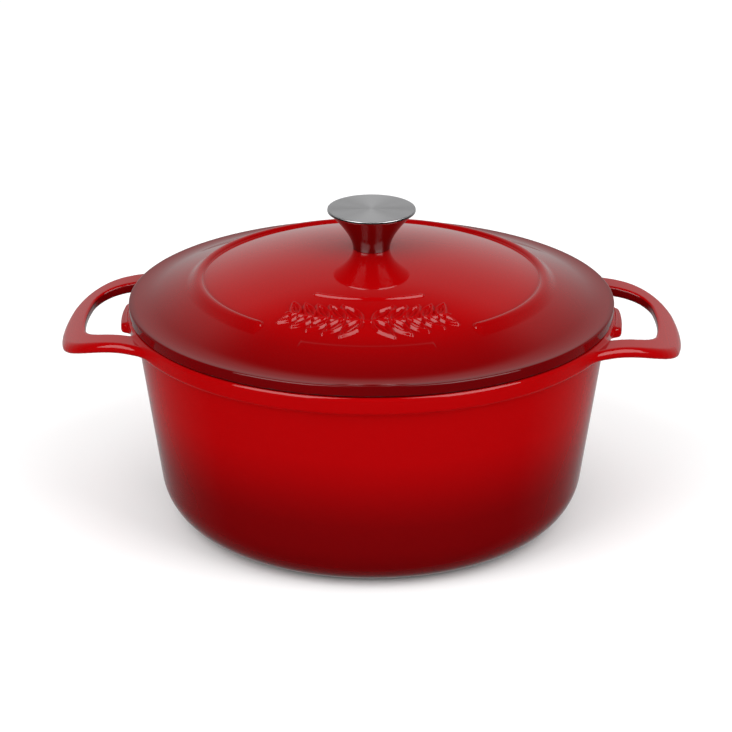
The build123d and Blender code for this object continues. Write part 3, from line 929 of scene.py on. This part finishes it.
def lid_outline():
    """Section of the lid's casting from the screw hole over the face, the edge and the underside."""
    seat_z = RIM_Z + SEAT_GAP
    rib_foot_z = seat_z - RIB_DEPTH
    face = dome_line(0, BRIM_RADIUS, HOLE_RADIUS)[::-1]
    under = dome_line(LID_WALL, RIB_OUTER - RIB_WIDTH, HOLE_RADIUS)
    edge = [
        (LID_RADIUS, BRIM_Z),
        (LID_RADIUS, LID_EDGE_Z),
        (LID_RADIUS - LID_UNDERCUT, seat_z),
        (RIB_OUTER, seat_z),
        (RIB_OUTER - RIB_TAPER, rib_foot_z),
        (RIB_OUTER - RIB_WIDTH, rib_foot_z),
    ]
    return soften(
        np.concatenate((face, edge, under)),
        ((BRIM_RADIUS, BRIM_Z), BRIM_HOLLOW),
        ((LID_RADIUS, BRIM_Z), LID_TOP_EDGE),
        ((LID_RADIUS, LID_EDGE_Z), LID_LOW_EDGE),
        ((RIB_OUTER - RIB_TAPER, rib_foot_z), RIB_EDGE),
        ((RIB_OUTER - RIB_WIDTH, rib_foot_z), RIB_EDGE),
    )


def lid_step(radius, z):
    """Longest step along the lid's outline: short where the relief is."""
    if z > dome_z(radius) - LID_WALL / 2 and LID_FINE_BAND[0] < radius < LID_FINE_BAND[1]:
        return LID_FINE_STEP
    return LID_STEP


lid_line = fine(lid_outline(), lid_step)
outside_relief = [radius > RELIEF_END for radius, z in lid_line]
face_end = outside_relief.index(True)


def lid_lift(x, y, index):
    """Relief on the lid's upper face, none on its edge and underside."""
    return relief(x, y) if index < face_end else 0


front = 1.5 * pi
fine_start, fine_end = front - LID_FINE_HALF, front + LID_FINE_HALF
front_turn = np.linspace(fine_start, fine_end, LID_FRONT_TURNS, endpoint=False)
rest_turn = np.linspace(fine_end, front + 2 * pi - LID_FINE_HALF, LID_REST_TURNS, endpoint=False)
points, faces = lathe(lid_line, np.concatenate((front_turn, rest_turn)), lid_lift)
make_piece("lid_casting", points, faces, lid_enamel, "lid", "lid")

lining_edge = RIB_OUTER - RIB_WIDTH - LID_LINING_EDGE_GAP
lining_hole = HEAD_RADIUS + LID_LINING_HEAD_GAP
upper = dome_line(LID_WALL, lining_edge, lining_hole)
lower = fine(dome_line(LID_WALL + LINING, lining_edge, lining_hole), LID_LINING_STEP)
for ring_radius in BASTING_RINGS:
    off_ring = (lower[:, 0] - ring_radius) / BASTING_HALF_WIDTH
    lower[:, 1] -= BASTING_HEIGHT * np.exp(-(off_ring**2))
points, faces = lathe(np.concatenate((upper, lower[::-1])), even_turn)
make_piece("lid_inner_enamel", points, faces, pale_enamel, "lid", "lid_lining")


def knob_outline():
    """Section of the knob: flat top, thin lip, cone with a waist, foot and blind bore."""
    waist = (KNOB_WAIST[0], BOSS_Z + KNOB_WAIST[1])
    lip = (KNOB_RADIUS - KNOB_LIP_INSET, KNOB_TOP - KNOB_LIP - 0.1)
    foot = (KNOB_FOOT_RADIUS, BOSS_Z)
    share = np.linspace(0, 1, CONE_STEPS)[1:-1]
    control = 2 * np.array(waist) - (np.array(lip) + np.array(foot)) / 2
    weights = np.stack(((1 - share) ** 2, 2 * share * (1 - share), share**2), axis=1)
    cone = weights @ np.array((lip, control, foot))
    line = np.array(
        [
            (0, KNOB_TOP),
            (KNOB_RADIUS, KNOB_TOP),
            (KNOB_RADIUS, KNOB_TOP - KNOB_LIP),
            lip,
            *cone,
            foot,
            (BORE_RADIUS, BOSS_Z),
            (BORE_RADIUS, BOSS_Z + BORE_DEPTH),
            (0, BOSS_Z + BORE_DEPTH),
        ]
    )
    return soften(
        line,
        ((KNOB_RADIUS, KNOB_TOP), KNOB_TOP_EDGE),
        ((KNOB_RADIUS, KNOB_TOP - KNOB_LIP), KNOB_LIP_EDGE),
        (foot, KNOB_FOOT_EDGE),
    )


knob_turn = np.linspace(0, 2 * pi, KNOB_TURNS, endpoint=False)
points, faces = lathe(fine(knob_outline(), KNOB_STEP), knob_turn)
make_piece("knob_turned", points, faces, knob_steel, "lid", "knob")

for node in ("knob_screw", "lock_washer"):
    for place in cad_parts[node].material_slots:
        place.material = screw_steel

# ---------------------------------------------------------------- floor, light and camera
floor_mesh = bpy.data.meshes.new("floor")
FLOOR_HALF = 14.0
FLOOR_Z = -0.0002
FLOOR_COLOUR = (0.95, 0.95, 0.95, 1)
FLOOR_ROUGHNESS = 0.9
floor_points = [(x * FLOOR_HALF, y * FLOOR_HALF, FLOOR_Z) for x, y in ((-1, -1), (1, -1), (1, 1), (-1, 1))]
floor_mesh.from_pydata(floor_points, [], [(0, 1, 2, 3)])
floor = bpy.data.objects.new("floor", floor_mesh)
bpy.context.scene.collection.objects.link(floor)
floor_material, _, _, shader = new_material("pale_floor")
shader.inputs["Base Color"].default_value = FLOOR_COLOUR
shader.inputs["Roughness"].default_value = FLOOR_ROUGHNESS
shader.inputs["Specular IOR Level"].default_value = 0.0
floor_mesh.materials.append(floor_material)
floor.visible_glossy = False

# The world lights surfaces evenly. Reflections see a darker studio instead: a glow behind the object that
# fades towards the ceiling.
AMBIENT = 0.8
DARK_STUDIO = 0.012
WIDE_GLOW = 0.14
NARROW_GLOW = 0.40
NARROW_POWER = 4.0
CEILING_FROM, CEILING_TO = 0.60, 0.80
CEILING_SHARE = 0.1
world = bpy.data.worlds.new("studio")
bpy.context.scene.world = world
world.use_nodes = True
nodes, links = world.node_tree.nodes, world.node_tree.links
background = nodes["Background"]
background.inputs["Color"].default_value = (1, 1, 1, 1)
direction = nodes.new("ShaderNodeTexCoord").outputs["Generated"]
split = nodes.new("ShaderNodeSeparateXYZ")
links.new(direction, split.inputs[0])
behind = math_node(nodes, links, "MAXIMUM", split.outputs[1], 0.0)
wide = math_node(nodes, links, "MULTIPLY_ADD", behind, WIDE_GLOW, DARK_STUDIO)
narrow = math_node(nodes, links, "POWER", behind, NARROW_POWER)
mirrored = math_node(nodes, links, "MULTIPLY_ADD", narrow, NARROW_GLOW, wide)
fade = nodes.new("ShaderNodeMapRange")
fade.interpolation_type = "SMOOTHSTEP"
fade.inputs["From Min"].default_value = CEILING_FROM
fade.inputs["From Max"].default_value = CEILING_TO
fade.inputs["To Min"].default_value = 1.0
fade.inputs["To Max"].default_value = CEILING_SHARE
links.new(split.outputs[2], fade.inputs["Value"])
mirrored = math_node(nodes, links, "MULTIPLY", mirrored, fade.outputs[0])
glossy = nodes.new("ShaderNodeLightPath").outputs["Is Glossy Ray"]
links.new(mix_value(nodes, links, glossy, AMBIENT, mirrored), background.inputs["Strength"])


SOFTBOX_RISE = radians(35)
SOFTBOX_DISTANCE = 2.4
SOFTBOX_WIDTH = 1.7
SOFTBOX_HEIGHT = 2.4
SOFTBOX_WATTS = 38


def softbox(name, azimuth):
    """Area light that faces the lid's middle; azimuth 0 is straight in front."""
    light = bpy.data.lights.new(name, "AREA")
    light.shape = "RECTANGLE"
    light.size = SOFTBOX_WIDTH
    light.size_y = SOFTBOX_HEIGHT
    light.energy = SOFTBOX_WATTS
    lamp = bpy.data.objects.new(name, light)
    ground = SOFTBOX_DISTANCE * cos(SOFTBOX_RISE)
    rise = SOFTBOX_DISTANCE * sin(SOFTBOX_RISE)
    lamp.location = (ground * sin(azimuth), -ground * cos(azimuth), rise + RIM_Z * MM)
    lamp.rotation_euler = (pi / 2 - SOFTBOX_RISE, 0, azimuth)
    bpy.context.scene.collection.objects.link(lamp)


softbox("softbox_left", radians(-44))
softbox("softbox_right", radians(53))

CAMERA_DISTANCE = 2.0
CAMERA_LENS = 169.13         # millimetres, on a sensor 36 wide
CAMERA_SENSOR = 36
CAMERA_RISE = radians(23.70)
CAMERA_PITCH = radians(21.36)
CAMERA_TURN = radians(1.4)
CAMERA_YAW = radians(0.097)
camera_data = bpy.data.cameras.new("camera")
camera_data.lens = CAMERA_LENS
camera_data.sensor_width = CAMERA_SENSOR
camera_data.clip_start = 0.05
camera_data.clip_end = 60
camera = bpy.data.objects.new("camera", camera_data)
ground = CAMERA_DISTANCE * cos(CAMERA_RISE)
camera.location = (
    ground * sin(CAMERA_TURN),
    -ground * cos(CAMERA_TURN),
    CAMERA_DISTANCE * sin(CAMERA_RISE),
)
camera.rotation_euler = (pi / 2 - CAMERA_PITCH, 0, CAMERA_TURN + CAMERA_YAW)
bpy.context.scene.collection.objects.link(camera)
bpy.context.scene.camera = camera
bpy.context.scene.view_settings.view_transform = "Standard"
